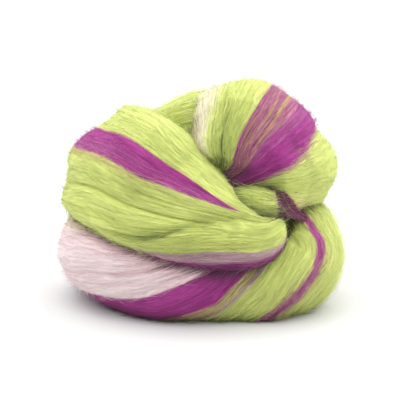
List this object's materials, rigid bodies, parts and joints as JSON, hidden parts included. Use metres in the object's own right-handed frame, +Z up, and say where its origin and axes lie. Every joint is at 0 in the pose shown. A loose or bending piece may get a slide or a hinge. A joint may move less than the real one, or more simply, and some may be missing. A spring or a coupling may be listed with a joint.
{
  "type": "wool roving",
  "caption": "Soft ball of combed wool roving, wound and tucked into a loose knot, with lengthwise stripes of lime, magenta, pale pink and tan.",
  "frame": {"origin": "on the surface that the ball rests on, under the middle of its bounding box", "axes": "+Z up, -Y towards the front with the throat where the passes meet, +X to the right seen from the front"},
  "size_m": [0.1328, 0.1029, 0.1033],
  "materials": {
    "wool": "dyed combed wool fibre with a soft sheen, in lengthwise stripes of lime, magenta, pale pink and tan"
  },
  "bodies": {
    "root": {"roving_ball": "wool"}
  },
  "joints": []
}
